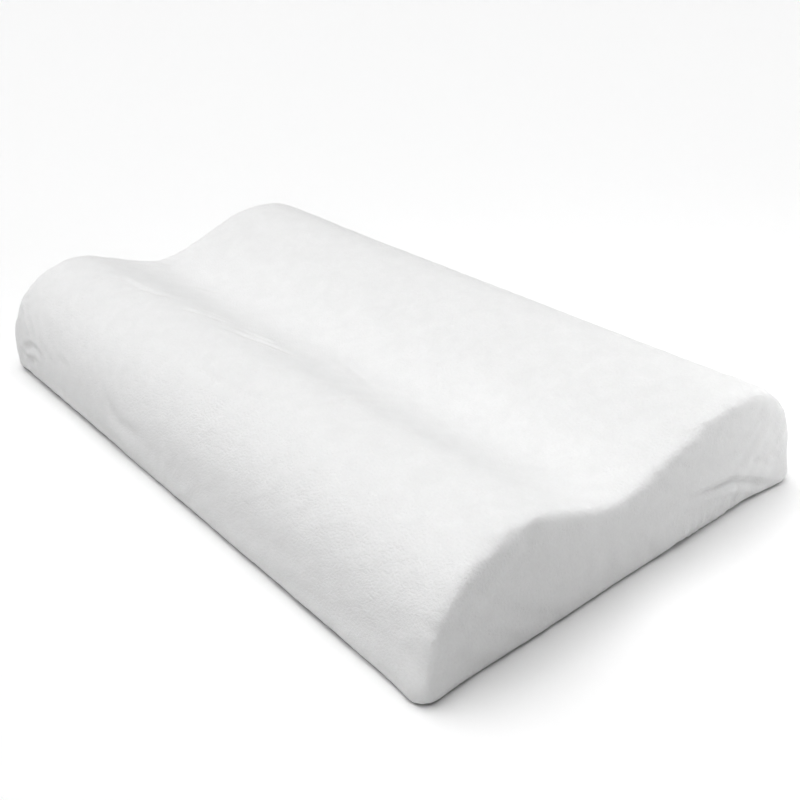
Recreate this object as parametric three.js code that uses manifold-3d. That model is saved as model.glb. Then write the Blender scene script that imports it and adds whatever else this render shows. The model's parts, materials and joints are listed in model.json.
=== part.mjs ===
// A contour bed pillow: a moulded foam core with a low lobe, a neck valley and a high lobe, in a thin
// jersey liner, inside a velour cover of four panels that opens with a coil zip along its rear side.
// Millimetres, +Z up. X runs along the pillow's length, -Y is its low side and +Y its high side.
// The origin is the middle of the underside, on the surface that the pillow lies on.

import * as THREE from 'three';
import { mergeVertices } from 'three/addons/utils/BufferGeometryUtils.js';
import Module from 'manifold-3d';

const wasm = await Module();
wasm.setup();

// ---- Driving dimensions -------------------------------------------------------------------------

const pillow = {
  length: 500,
  depth: 300,
  lowLobeHeight: 75,
  valleyHeight: 55,
  highLobeHeight: 79,
  lowCrestSetback: 67, // from the front face
  valleySetback: 139, // from the front face
  highCrestSetback: 64, // from the rear face
  bottomEdgeRadius: 10,
  endEdgeRadius: 8, // stays below the bottom edge radius, so that the end's rim never folds over
};

// How long each side of the section's curves runs on before it bends, as a share of its span.
const fullness = {
  lowNose: 0.6,
  lowCrestFront: 0.55,
  lowCrestBack: 0.31,
  valleyFront: 0.41,
  valleyBack: 0.27,
  highCrestFront: 0.33,
  highCrestBack: 0.64,
  highNose: 0.45,
};

const cloth = {
  coverThickness: 1.5,
  linerThickness: 0.8,
  linerSeamHeight: 34,
  frontSeamHeight: 3,
  endSeamInset: 2.4,
  seamGap: 0.3,
  layerGap: 0.3,
};

const zip = {
  endMargin: 30,
  stripHeight: 12,
  tapeThickness: 0.5,
  tapeLapAbove: 5,
  tapeLapBelow: 4,
  tapeParting: 1.2, // the open line between the two tapes, which the slider's neck runs in
  tapeEndGap: 0.5,
  coilWidth: 2,
  coilThickness: 1.4,
  garageLength: 10,
  garageThickness: 1.2,
  bottomStopLength: 4.5,
  topStopLength: 2.7,
  stopRise: 0.7, // how far a stop stands above the coils, so that the slider cannot pass it
};

const slider = {
  length: 9,
  topPlateThickness: 1.2,
  bottomPlateThickness: 0.8,
  bottomPlateWidth: 6,
  flangeThickness: 1,
  neckThickness: 0.6,
  neckLength: 3,
  cornerRadius: 1.2,
  bridgeLength: 6,
  bridgeWidth: 2,
  bridgeThickness: 0.9,
  postThickness: 1,
};

const pullTab = {
  length: 24,
  thickness: 1.2,
  eyeWidth: 5.2,
  paddleWidth: 6.6,
  windowWidth: 3,
  windowReach: 4, // from the hinge line to the window's far edge, more than the bridge's corners need
  crossbarHalf: 0.5,
  softenedEdge: 0.2,
};

const label = {
  width: 24,
  drop: 34,
  thickness: 0.4,
  standOff: 0.3,
};

const runningGap = 0.3; // between the slider and what it runs on, and around the pull tab's crossbar
const curveSteps = 10;
const cornerSteps = 4;
const edgeSteps = 4;
const shortestCurve = 0.01;

// ---- Places worked out from the dimensions ---------------------------------------------------------

const halfLength = pillow.length / 2;
const halfDepth = pillow.depth / 2;

// Depths below the cover's outer face, layer by layer.
const tapeInset = cloth.coverThickness + cloth.layerGap;
const sliderBackInset =
  tapeInset + zip.tapeThickness + runningGap + slider.bottomPlateThickness;
const linerInset = sliderBackInset + runningGap;
const coreInset = linerInset + cloth.linerThickness + cloth.layerGap;

const zipLow = pillow.bottomEdgeRadius;
const zipHigh = zipLow + zip.stripHeight;
const zipMiddle = (zipLow + zipHigh) / 2;
const zipHalfOpening = halfLength - zip.endMargin;

// ---- Materials ----------------------------------------------------------------------------------------

const velour = { color: 0xf1f1ef, roughness: 0.95, metalness: 0 };
const jersey = { color: 0xf6f6f4, roughness: 0.9, metalness: 0 };
const foam = { color: 0xf3ecd6, roughness: 0.85, metalness: 0 };
const tapeCloth = { color: 0xebebe8, roughness: 0.8, metalness: 0 };
const nylon = { color: 0xf4f4f2, roughness: 0.35, metalness: 0 };
const nickel = { color: 0xc3c2bd, roughness: 0.28, metalness: 1 };
const satin = { color: 0xfafafa, roughness: 0.5, metalness: 0 };

// ---- Solids: closed geometry in and out of the boolean library ------------------------------------------

function toSolid(geometry) {
  const bare = geometry.clone();
  bare.deleteAttribute('normal');
  bare.deleteAttribute('uv');
  const merged = mergeVertices(bare, 1e-4);
  return new wasm.Manifold(
    new wasm.Mesh({
      numProp: 3,
      vertProperties: Float32Array.from(merged.attributes.position.array),
      triVerts: Uint32Array.from(merged.index.array),
    }),
  );
}

function toGeometry(solid) {
  const mesh = solid.getMesh();
  const geometry = new THREE.BufferGeometry();
  geometry.setAttribute('position', new THREE.Float32BufferAttribute(mesh.vertProperties, 3));
  geometry.setIndex(Array.from(mesh.triVerts));
  geometry.computeVertexNormals();
  return geometry;
}

function block(low, high) {
  const size = high.map((value, axis) => value - low[axis]);
  const box = new THREE.BoxGeometry(...size);
  box.translate(...low.map((value, axis) => value + size[axis] / 2));
  return toSolid(box);
}

function joined(solids) {
  return solids.reduce((whole, next) => whole.add(next));
}

function namedMesh(name, shape, finish) {
  const geometry = shape.isBufferGeometry ? shape : toGeometry(shape);
  const mesh = new THREE.Mesh(geometry, new THREE.MeshStandardMaterial(finish));
  mesh.name = name;
  return mesh;
}

// ---- The pillow's section, and the rounded block that every layer is cut from ------------------------------

/** The outline across the depth, anticlockwise from the underside's front end. */
function sectionOutline() {
  const radius = pillow.bottomEdgeRadius;
  const low = new THREE.Vector2(-halfDepth + pillow.lowCrestSetback, pillow.lowLobeHeight);
  const valley = new THREE.Vector2(-halfDepth + pillow.valleySetback, pillow.valleyHeight);
  const high = new THREE.Vector2(halfDepth - pillow.highCrestSetback, pillow.highLobeHeight);
  const backSpan = halfDepth - high.x;
  const rise = high.x - valley.x;
  const fall = valley.x - low.x;
  const frontSpan = low.x + halfDepth;

  const outline = new THREE.Shape();
  outline.moveTo(-halfDepth + radius, 0);
  outline.lineTo(halfDepth - radius, 0);
  outline.absarc(halfDepth - radius, radius, radius, -Math.PI / 2, 0);
  outline.lineTo(halfDepth, zipHigh);
  outline.bezierCurveTo(
    halfDepth, zipHigh + fullness.highNose * (high.y - zipHigh),
    high.x + fullness.highCrestBack * backSpan, high.y,
    high.x, high.y,
  );
  outline.bezierCurveTo(
    high.x - fullness.highCrestFront * rise, high.y,
    valley.x + fullness.valleyBack * rise, valley.y,
    valley.x, valley.y,
  );
  outline.bezierCurveTo(
    valley.x - fullness.valleyFront * fall, valley.y,
    low.x + fullness.lowCrestBack * fall, low.y,
    low.x, low.y,
  );
  outline.bezierCurveTo(
    low.x - fullness.lowCrestFront * frontSpan, low.y,
    -halfDepth, radius + fullness.lowNose * (low.y - radius),
    -halfDepth, radius,
  );
  outline.absarc(-halfDepth + radius, radius, radius, Math.PI, 1.5 * Math.PI);
  return outline;
}

/** The section moved inward by `inset`, as a closed shape of straight steps. */
function insetSection(inset) {
  const points = [];
  // An arc that starts where the last curve ended may add a joining line of no length: it is left out.
  const curves = sectionOutline().curves.filter((curve) => curve.getLength() > shortestCurve);
  for (const curve of curves) {
    let steps = curveSteps;
    if (curve.isLineCurve) steps = 1;
    if (curve.isEllipseCurve) steps = cornerSteps;
    for (let step = 0; step < steps; step += 1) {
      const along = curve.getTangent(step / steps);
      const inward = new THREE.Vector2(-along.y, along.x);
      points.push(curve.getPoint(step / steps).addScaledVector(inward, inset));
    }
  }
  return new THREE.Shape(points);
}

/** The pillow's whole outer form, shrunk by `inset` on every side. */
function roundedBlock(inset) {
  const edge = pillow.endEdgeRadius - inset;
  const geometry = new THREE.ExtrudeGeometry(insetSection(inset), {
    depth: pillow.length - 2 * pillow.endEdgeRadius,
    steps: 1,
    bevelEnabled: true,
    bevelSegments: edgeSteps,
    bevelSize: edge,
    bevelThickness: edge,
    bevelOffset: -edge,
  });
  const sectionAcrossDepth = new THREE.Matrix4().makeBasis(
    new THREE.Vector3(0, 1, 0),
    new THREE.Vector3(0, 0, 1),
    new THREE.Vector3(1, 0, 0),
  );
  geometry.applyMatrix4(sectionAcrossDepth);
  geometry.translate(-halfLength + pillow.endEdgeRadius, 0, 0);
  return toSolid(geometry);
}

/** The layer of cloth that lies between two insets. */
function layer(outerInset, thickness) {
  return roundedBlock(outerInset).subtract(roundedBlock(outerInset + thickness));
}

const beyond = pillow.length + pillow.depth; // farther out than any piece reaches

// ---- Cover: top, bottom and two end panels -------------------------------------------------------------------

/** The space of the bottom panel: up to the front seam, and up to the zip behind, grown by `margin`. */
function undersideSpace(margin) {
  const frontFlat = -halfDepth + pillow.bottomEdgeRadius;
  const front = block([-beyond, -beyond, -beyond], [beyond, 0, cloth.frontSeamHeight + margin]);
  const rear = block([-beyond, frontFlat - margin, -beyond], [beyond, beyond, zipLow + margin]);
  return front.add(rear);
}

function coverPanels() {
  const shell = layer(0, cloth.coverThickness);
  const halfSeam = cloth.seamGap / 2;
  const endCut = halfLength - cloth.endSeamInset;
  const middle = block([-endCut + halfSeam, -beyond, -beyond], [endCut - halfSeam, beyond, beyond]);
  const zipSlot = block([-zipHalfOpening, 0, -beyond], [zipHalfOpening, beyond, zipHigh]);

  const tube = shell.intersect(middle);
  const top = tube.subtract(undersideSpace(halfSeam)).subtract(zipSlot);
  const bottom = tube.intersect(undersideSpace(-halfSeam));
  const left = shell.intersect(
    block([-beyond, -beyond, -beyond], [-endCut - halfSeam, beyond, beyond]),
  );
  const right = shell.intersect(
    block([endCut + halfSeam, -beyond, -beyond], [beyond, beyond, beyond]),
  );
  return [
    namedMesh('cover_top_panel', top, velour),
    namedMesh('cover_bottom_panel', bottom, velour),
    namedMesh('cover_left_end_panel', left, velour),
    namedMesh('cover_right_end_panel', right, velour),
  ];
}

// ---- Filling: liner halves and foam core ----------------------------------------------------------------------

function filling() {
  const shell = layer(linerInset, cloth.linerThickness);
  const halfSeam = cloth.seamGap / 2;
  const above = block(
    [-beyond, -beyond, cloth.linerSeamHeight + halfSeam],
    [beyond, beyond, beyond],
  );
  const below = block(
    [-beyond, -beyond, -beyond],
    [beyond, beyond, cloth.linerSeamHeight - halfSeam],
  );
  return [
    namedMesh('liner_upper', shell.intersect(above), jersey),
    namedMesh('liner_lower', shell.intersect(below), jersey),
    namedMesh('foam_core', roundedBlock(coreInset), foam),
  ];
}

// ---- Care label, hanging from the seam over the left end panel ----------------------------------------------------

function careLabel() {
  const edge = pillow.endEdgeRadius;
  const inner = edge + label.standOff;
  const outer = inner + label.thickness;
  const bendHeight = pillow.highLobeHeight - edge;
  const foot = pillow.highLobeHeight - label.drop;
  const strip = new THREE.Shape();
  strip.moveTo(-inner, foot - bendHeight);
  strip.absarc(0, 0, inner, Math.PI, 0.75 * Math.PI, true);
  strip.absarc(0, 0, outer, 0.75 * Math.PI, Math.PI, false);
  strip.lineTo(-outer, foot - bendHeight);
  const geometry = new THREE.ExtrudeGeometry(strip, {
    depth: label.width,
    bevelEnabled: false,
    curveSegments: cornerSteps,
  });
  geometry.rotateX(Math.PI / 2);
  const tag = namedMesh('care_label', geometry, satin);
  const rearEdge = halfDepth - pillow.highCrestSetback + label.width / 2;
  tag.position.set(-halfLength + edge, rearEdge, bendHeight);
  return tag;
}

// ---- Zip: everything below is placed in a frame on the zip's middle line, at the cover's outer face -----------------

const coilBack = -tapeInset + runningGap;
const coilFront = coilBack + zip.coilThickness;
const stopFront = coilFront + zip.stopRise;
const coilEdge = zip.tapeParting / 2 + zip.coilWidth;
const garageStart = zipHalfOpening - zip.garageLength;
const bottomStopEnd = -garageStart + runningGap + zip.bottomStopLength;
const topStopStart = garageStart - runningGap - zip.topStopLength;

/** Tapes follow the rounded rear side, so they are cut from a layer of the whole block. */
function zipTapes() {
  const reach = zipHalfOpening - zip.tapeEndGap;
  const ply = layer(tapeInset, zip.tapeThickness);
  const upper = block(
    [-reach, 0, zipMiddle + zip.tapeParting / 2],
    [reach, beyond, zipHigh + zip.tapeLapAbove],
  );
  const lower = block(
    [-reach, 0, zipLow - zip.tapeLapBelow],
    [reach, beyond, zipMiddle - zip.tapeParting / 2],
  );
  return [
    namedMesh('zip_tape_upper', ply.intersect(upper), tapeCloth),
    namedMesh('zip_tape_lower', ply.intersect(lower), tapeCloth),
  ];
}

function zipCoil(name, side) {
  const start = bottomStopEnd + runningGap;
  const end = topStopStart - runningGap;
  const crown = zip.coilWidth / 4;
  const outline = new THREE.Shape();
  outline.moveTo(0, 0);
  outline.lineTo(zip.coilWidth, 0);
  outline.lineTo(zip.coilWidth, zip.coilThickness - crown);
  outline.lineTo(zip.coilWidth - crown, zip.coilThickness);
  outline.lineTo(crown, zip.coilThickness);
  outline.lineTo(0, zip.coilThickness - crown);
  const geometry = new THREE.ExtrudeGeometry(outline, { depth: end - start, bevelEnabled: false });
  geometry.applyMatrix4(new THREE.Matrix4().makeBasis(
    new THREE.Vector3(0, 0, 1),
    new THREE.Vector3(0, 1, 0),
    new THREE.Vector3(-1, 0, 0),
  ));
  const coil = namedMesh(name, geometry, nylon);
  const nearEdge = side > 0 ? zip.tapeParting / 2 : -coilEdge;
  coil.position.set(end, coilBack, nearEdge);
  return coil;
}

function zipStops() {
  const topEnd = topStopStart + zip.topStopLength;
  const inner = zip.tapeParting / 2;
  const rim = coilEdge + runningGap;
  const bottomStart = bottomStopEnd - zip.bottomStopLength;
  return [
    namedMesh('zip_top_stop_upper', block([topStopStart, coilBack, inner], [topEnd, stopFront, rim]), nickel),
    namedMesh('zip_top_stop_lower', block([topStopStart, coilBack, -rim], [topEnd, stopFront, -inner]), nickel),
    namedMesh('zip_bottom_stop', block([bottomStart, coilBack, -rim], [bottomStopEnd, stopFront, rim]), nickel),
  ];
}

function zipGarage(name, side) {
  const near = side * garageStart;
  const far = side * (zipHalfOpening - cloth.seamGap);
  const halfHeight = zip.stripHeight / 2 - cloth.seamGap;
  const tab = block(
    [Math.min(near, far), coilBack, -halfHeight],
    [Math.max(near, far), coilBack + zip.garageThickness, halfHeight],
  );
  return namedMesh(name, tab, tapeCloth);
}

/** A flat plate with rounded corners in the X-Z plane, from `back` to `front` along Y. */
function plate(length, width, back, front) {
  const round = slider.cornerRadius;
  const x = length / 2;
  const z = width / 2;
  const outline = new THREE.Shape();
  outline.moveTo(-x + round, -z);
  outline.lineTo(x - round, -z);
  outline.absarc(x - round, -z + round, round, -Math.PI / 2, 0);
  outline.lineTo(x, z - round);
  outline.absarc(x - round, z - round, round, 0, Math.PI / 2);
  outline.lineTo(-x + round, z);
  outline.absarc(-x + round, z - round, round, Math.PI / 2, Math.PI);
  outline.lineTo(-x, -z + round);
  outline.absarc(-x + round, -z + round, round, Math.PI, 1.5 * Math.PI);
  const geometry = new THREE.ExtrudeGeometry(outline, {
    depth: front - back,
    bevelEnabled: false,
    curveSegments: cornerSteps,
  });
  geometry.rotateX(Math.PI / 2);
  geometry.translate(0, front, 0);
  return toSolid(geometry);
}

const plateBack = coilFront + runningGap;
const plateFront = plateBack + slider.topPlateThickness;
const hingeHeight = plateFront + runningGap + pullTab.thickness / 2;
const bridgeOpening = 2 * runningGap + pullTab.thickness;
const sliderWidth = 2 * (coilEdge + runningGap + slider.flangeThickness);

/** Two plates joined by a thin neck that runs in the parting line, side flanges and a bridge on top. */
function sliderBody() {
  const halfWidth = sliderWidth / 2;
  const halfNeck = slider.neckThickness / 2;
  const backFace = -sliderBackInset;
  const halfRail = slider.length / 2 - slider.cornerRadius;
  const overlap = slider.topPlateThickness / 2;

  const topPlate = plate(slider.length, sliderWidth, plateBack, plateFront);
  const bottomPlate = plate(
    slider.length, slider.bottomPlateWidth, backFace, backFace + slider.bottomPlateThickness,
  );
  const flange = block(
    [-halfRail, coilBack, halfWidth - slider.flangeThickness],
    [halfRail, plateBack + overlap, halfWidth],
  );
  const neck = block(
    [halfRail - slider.neckLength, backFace + slider.bottomPlateThickness / 2, -halfNeck],
    [halfRail, plateBack + overlap, halfNeck],
  );
  return joined([topPlate, bottomPlate, flange, flange.mirror([0, 0, 1]), neck, bridge()]);
}

/** The arch on the slider's top plate that the pull tab's crossbar passes under. */
function bridge() {
  const outer = slider.bridgeLength / 2;
  const inner = outer - slider.postThickness;
  const foot = plateFront - slider.topPlateThickness / 2;
  const ceiling = plateFront + bridgeOpening;
  const crown = ceiling + slider.bridgeThickness;
  const chamfer = slider.postThickness / 2;
  const arch = new THREE.Shape();
  arch.moveTo(-outer, foot);
  arch.lineTo(-inner, foot);
  arch.lineTo(-inner, ceiling);
  arch.lineTo(inner, ceiling);
  arch.lineTo(inner, foot);
  arch.lineTo(outer, foot);
  arch.lineTo(outer, crown - chamfer);
  arch.lineTo(outer - chamfer, crown);
  arch.lineTo(-outer + chamfer, crown);
  arch.lineTo(-outer, crown - chamfer);
  const geometry = new THREE.ExtrudeGeometry(arch, { depth: slider.bridgeWidth, bevelEnabled: false });
  geometry.translate(0, 0, -slider.bridgeWidth / 2);
  return toSolid(geometry);
}

/** A paddle with a window; its hinge line is the Z axis through the crossbar's middle. */
function pullTabGeometry() {
  const eye = pullTab.eyeWidth / 2;
  const paddle = pullTab.paddleWidth / 2;
  const window = pullTab.windowWidth / 2;
  const end = pullTab.length;
  const shoulder = pullTab.windowReach + pullTab.eyeWidth / 2;
  const outline = new THREE.Shape();
  outline.moveTo(-pullTab.crossbarHalf, -eye);
  outline.lineTo(pullTab.windowReach, -eye);
  outline.lineTo(shoulder, -paddle);
  outline.lineTo(end - paddle, -paddle);
  outline.absarc(end - paddle, 0, paddle, -Math.PI / 2, Math.PI / 2);
  outline.lineTo(shoulder, paddle);
  outline.lineTo(pullTab.windowReach, eye);
  outline.lineTo(-pullTab.crossbarHalf, eye);
  const opening = new THREE.Path();
  opening.moveTo(pullTab.crossbarHalf, -window);
  opening.lineTo(pullTab.crossbarHalf, window);
  opening.lineTo(pullTab.windowReach, window);
  opening.lineTo(pullTab.windowReach, -window);
  outline.holes.push(opening);
  const soft = pullTab.softenedEdge;
  const geometry = new THREE.ExtrudeGeometry(outline, {
    depth: pullTab.thickness - 2 * soft,
    bevelEnabled: true,
    bevelSegments: 1,
    bevelSize: soft,
    bevelThickness: soft,
    bevelOffset: -soft,
    curveSegments: curveSteps,
  });
  geometry.translate(0, 0, soft - pullTab.thickness / 2);
  geometry.rotateX(-Math.PI / 2);
  geometry.rotateZ(Math.PI);
  return geometry;
}

function zipAssembly() {
  const hardware = new THREE.Group();
  hardware.position.set(0, halfDepth, zipMiddle);
  hardware.add(zipCoil('zip_coil_upper', 1), zipCoil('zip_coil_lower', -1));
  hardware.add(...zipStops());
  hardware.add(zipGarage('zip_garage_left', -1), zipGarage('zip_garage_right', 1));

  const carriage = new THREE.Group();
  carriage.position.set(topStopStart - runningGap - slider.length / 2, 0, 0);
  carriage.add(namedMesh('zip_slider_body', sliderBody(), nickel));
  const tab = namedMesh('zip_pull_tab', pullTabGeometry(), nickel);
  tab.position.set(0, hingeHeight, 0);
  carriage.add(tab);
  hardware.add(carriage);
  return hardware;
}

// ---- The whole pillow -------------------------------------------------------------------------------------------------

const contourPillow = new THREE.Group();
contourPillow.add(...filling(), ...coverPanels(), careLabel(), ...zipTapes(), zipAssembly());

export default contourPillow;
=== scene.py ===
"""A contour bed pillow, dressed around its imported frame.

The pillow is a moulded foam core in a jersey liner and a velour cover of four sewn panels, with a coil
zip along its rear side. X runs along its length, -Y is the low lobe's side, +Y the high lobe's, +Z up.
"""

from __future__ import annotations

import json
import logging
import math
from dataclasses import dataclass
from enum import Enum
from typing import Callable

import bmesh
import bpy
import numpy as np
from mathutils import Matrix, Vector, noise
from mathutils.bvhtree import BVHTree

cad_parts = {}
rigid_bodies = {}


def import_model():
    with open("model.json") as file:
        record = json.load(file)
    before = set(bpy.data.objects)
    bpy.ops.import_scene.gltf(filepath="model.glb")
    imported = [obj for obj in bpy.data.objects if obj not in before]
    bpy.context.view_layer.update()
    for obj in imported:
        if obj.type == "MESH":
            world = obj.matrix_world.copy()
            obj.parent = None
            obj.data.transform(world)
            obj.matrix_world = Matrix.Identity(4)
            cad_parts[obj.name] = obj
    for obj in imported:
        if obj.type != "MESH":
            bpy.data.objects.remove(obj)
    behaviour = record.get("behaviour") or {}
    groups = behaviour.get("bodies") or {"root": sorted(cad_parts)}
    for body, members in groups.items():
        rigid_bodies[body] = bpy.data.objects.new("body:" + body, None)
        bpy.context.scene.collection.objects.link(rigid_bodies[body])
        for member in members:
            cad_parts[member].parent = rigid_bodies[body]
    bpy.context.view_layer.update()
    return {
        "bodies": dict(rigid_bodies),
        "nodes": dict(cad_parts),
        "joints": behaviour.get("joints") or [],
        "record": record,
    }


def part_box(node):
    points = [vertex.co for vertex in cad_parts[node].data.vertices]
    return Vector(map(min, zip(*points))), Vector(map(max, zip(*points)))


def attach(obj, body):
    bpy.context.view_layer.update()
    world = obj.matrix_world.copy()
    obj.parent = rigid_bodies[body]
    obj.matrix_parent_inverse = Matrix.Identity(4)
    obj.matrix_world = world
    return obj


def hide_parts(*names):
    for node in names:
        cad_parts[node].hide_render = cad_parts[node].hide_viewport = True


logging.basicConfig(level=logging.INFO, format="%(message)s")
LOG = logging.getLogger("pillow")

MM = 0.001
BODY = "pillow"


# ---- Small tools ----


def linear(hex_colour: str, alpha: float = 1.0) -> tuple[float, float, float, float]:
    """Turn an sRGB hex colour to linear.

    Args:
        hex_colour: Six hex digits, without a sign in front.
        alpha: The alpha to return with it.

    Returns:
        Linear red, green, blue and alpha.
    """
    channels = (int(hex_colour[i:i + 2], 16) / 255 for i in (0, 2, 4))
    turned = (c / 12.92 if c <= 0.04045 else ((c + 0.055) / 1.055) ** 2.4 for c in channels)
    return (*turned, alpha)


def start_material(name: str, **values) -> tuple[bpy.types.Material, bpy.types.Node]:
    """Make a material, and set what is the same all over its surface.

    Args:
        name: The material's name.
        **values: Values of the surface shader's inputs, by name with _ for each space.

    Returns:
        The material and its surface shader.
    """
    material = bpy.data.materials.new(name)
    material.use_nodes = True
    surface = material.node_tree.nodes["Principled BSDF"]
    for socket, value in values.items():
        surface.inputs[socket.replace("_", " ")].default_value = value
    return material, surface


def feed(surface: bpy.types.Node, **sources: bpy.types.NodeSocket) -> None:
    """Link outputs to the surface shader's inputs, by name with _ for each space."""
    for socket, source in sources.items():
        surface.id_data.links.new(source, surface.inputs[socket.replace("_", " ")])


def add_node(material: bpy.types.Material, kind: str, links: dict | None = None,
             **settings) -> bpy.types.Node:
    """Add one shader node, set it and link it.

    Args:
        material: The material whose tree gets the node.
        kind: The node's type, such as "ShaderNodeBump".
        links: Input name or index to the output socket that feeds it.
        **settings: Node properties by name; a name of the form in_X sets the input X.

    Returns:
        The new node.
    """
    node = material.node_tree.nodes.new(kind)
    for name, value in settings.items():
        if name.startswith("in_"):
            node.inputs[name[3:].replace("_", " ")].default_value = value
        else:
            setattr(node, name, value)
    for socket, source in (links or {}).items():
        material.node_tree.links.new(source, node.inputs[socket])
    return node


def linked(name: str, data: bpy.types.ID) -> bpy.types.Object:
    """Put a mesh, lamp or camera in the scene as a new object."""
    piece = bpy.data.objects.new(name, data)
    bpy.context.scene.collection.objects.link(piece)
    return piece


def to_object(name: str, bm: bmesh.types.BMesh, smooth: bool = True) -> bpy.types.Object:
    """Write a bmesh to a new linked object, and free it.

    Args:
        name: The object's name.
        bm: The mesh, in metres, in the pillow's frame.
        smooth: Whether its faces are shaded smooth.

    Returns:
        The new object, at the origin.
    """
    mesh = bpy.data.meshes.new(name)
    bm.to_mesh(mesh)
    bm.free()
    mesh.shade_smooth() if smooth else mesh.shade_flat()
    return linked(name, mesh)


def applied(piece: bpy.types.Object) -> bpy.types.Object:
    """Bake a piece's modifiers into its mesh.

    Args:
        piece: The object to bake.

    Returns:
        The same object, with no modifiers.
    """
    graph = bpy.context.evaluated_depsgraph_get()
    mesh = bpy.data.meshes.new_from_object(piece.evaluated_get(graph), depsgraph=graph)
    old = piece.data
    piece.modifiers.clear()
    piece.data = mesh
    bpy.data.meshes.remove(old)
    mesh.shade_smooth()
    return piece


def walled(piece: bpy.types.Object, thickness: float, offset: float = -1.0) -> bpy.types.Object:
    """Give an open piece a wall, inward from its face unless offset says otherwise."""
    wall = piece.modifiers.new("wall", "SOLIDIFY")
    wall.thickness = thickness
    wall.offset = offset
    return applied(piece)


def read_vectors(items: bpy.types.bpy_prop_collection, field: str) -> np.ndarray:
    """Read one vector of every item as an (n, 3) array."""
    flat = np.empty(len(items) * 3)
    items.foreach_get(field, flat)
    return flat.reshape(-1, 3)


def coordinates(mesh: bpy.types.Mesh) -> np.ndarray:
    """Read a mesh's vertex positions as an (n, 3) array."""
    return read_vectors(mesh.vertices, "co")


def normals(mesh: bpy.types.Mesh) -> np.ndarray:
    """Read a mesh's vertex normals as an (n, 3) array."""
    return read_vectors(mesh.vertex_normals, "vector")


def put_coordinates(mesh: bpy.types.Mesh, points: np.ndarray) -> None:
    """Write vertex positions back to a mesh."""
    mesh.vertices.foreach_set("co", points.reshape(-1))
    mesh.update()


def step(values: np.ndarray, start: float, end: float) -> np.ndarray:
    """A smooth step from 0 at start to 1 at end."""
    share = np.clip((values - start) / (end - start), 0, 1)
    return share * share * (3 - 2 * share)


def surface_tree(piece: bpy.types.Object) -> BVHTree:
    """Build a search tree of a piece's faces."""
    bm = bmesh.new()
    bm.from_mesh(piece.data)
    tree = BVHTree.FromBMesh(bm)
    bm.free()
    return tree


def finish_piece(piece: bpy.types.Object, finish: bpy.types.Material, slot: Slot, *nodes: str,
                 body: str = BODY) -> bpy.types.Object:
    """Give a piece its material and body, and let it stand for its CAD nodes.

    Args:
        piece: The piece.
        finish: Its material.
        slot: Not used.
        *nodes: The CAD nodes that it replaces.
        body: The body that it rides on.

    Returns:
        The same piece.
    """
    piece.data.materials.clear()
    piece.data.materials.append(finish)
    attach(piece, body)
    if nodes:
        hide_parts(*nodes)
    LOG.info("%s: %d faces", piece.name, len(piece.data.polygons))
    return piece


# ---- Finishes ----


class Slot(Enum):
    """The material slots of the record."""

    VELOUR = "velour"
    JERSEY = "jersey"
    FOAM = "foam"
    TAPE = "zip_tape"
    NYLON = "nylon"
    NICKEL = "nickel"
    SATIN = "satin"


@dataclass(frozen=True)
class Velour:
    """Polyester velour knit, brushed and sheared.

    The short nap leans in small patches, which gives the eye a soft mottle, a pale rim of sheen and no
    visible knit.
    """

    colour: str = "F6F6F6"
    shade: str = "F2F2F2"
    roughness: float = 0.92
    nap: float = 1.4 * MM
    patch: float = 14 * MM
    bump_height: float = 0.5 * MM

    def build(self) -> bpy.types.Material:
        """Build the material."""
        material, surface = start_material(
            "velour_sheared_polyester", Roughness=self.roughness, Specular_IOR_Level=0.2, Sheen_Weight=0.25,
            Sheen_Roughness=0.6)
        place = add_node(material, "ShaderNodeTexCoord").outputs["Object"]
        tuft = add_node(material, "ShaderNodeTexNoise", {"Vector": place}, in_Scale=1 / self.nap,
                        in_Detail=3.0, in_Roughness=0.65)
        lean = add_node(material, "ShaderNodeTexNoise", {"Vector": place}, in_Scale=1 / self.patch,
                        in_Detail=4.0, in_Roughness=0.6, in_Distortion=0.6)
        blend = add_node(material, "ShaderNodeMath", {0: tuft.outputs["Fac"], 1: lean.outputs["Fac"]},
                         operation="MULTIPLY")
        ramp = add_node(material, "ShaderNodeMapRange", {"Value": blend.outputs[0]}, in_From_Min=0.12,
                        in_From_Max=0.4)
        tint = add_node(material, "ShaderNodeMix", {"Factor": ramp.outputs["Result"]}, data_type="RGBA")
        tint.inputs[6].default_value = linear(self.shade)
        tint.inputs[7].default_value = linear(self.colour)
        bump = add_node(material, "ShaderNodeBump", {"Height": tuft.outputs["Fac"]}, in_Strength=0.9,
                        in_Distance=self.bump_height)
        feed(surface, Base_Color=tint.outputs[2], Normal=bump.outputs["Normal"])
        return material


@dataclass(frozen=True)
class KnitCloth:
    """Cotton jersey, single knit: matt, with fine vertical wales."""

    colour: str = "F4F4F1"
    wale: float = 1.2 * MM

    def build(self) -> bpy.types.Material:
        """Build the material."""
        material, surface = start_material("cotton_jersey", Base_Color=linear(self.colour),
                                           Roughness=0.9, Sheen_Weight=0.15)
        place = add_node(material, "ShaderNodeTexCoord").outputs["Object"]
        wales = add_node(material, "ShaderNodeTexWave", {"Vector": place}, bands_direction="X",
                         in_Scale=math.tau / (20 * self.wale), in_Distortion=1.5)
        wales.inputs["Detail Scale"].default_value = 4.0
        bump = add_node(material, "ShaderNodeBump", {"Height": wales.outputs["Fac"]}, in_Strength=0.5,
                        in_Distance=0.2 * MM)
        feed(surface, Normal=bump.outputs["Normal"])
        return material


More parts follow.
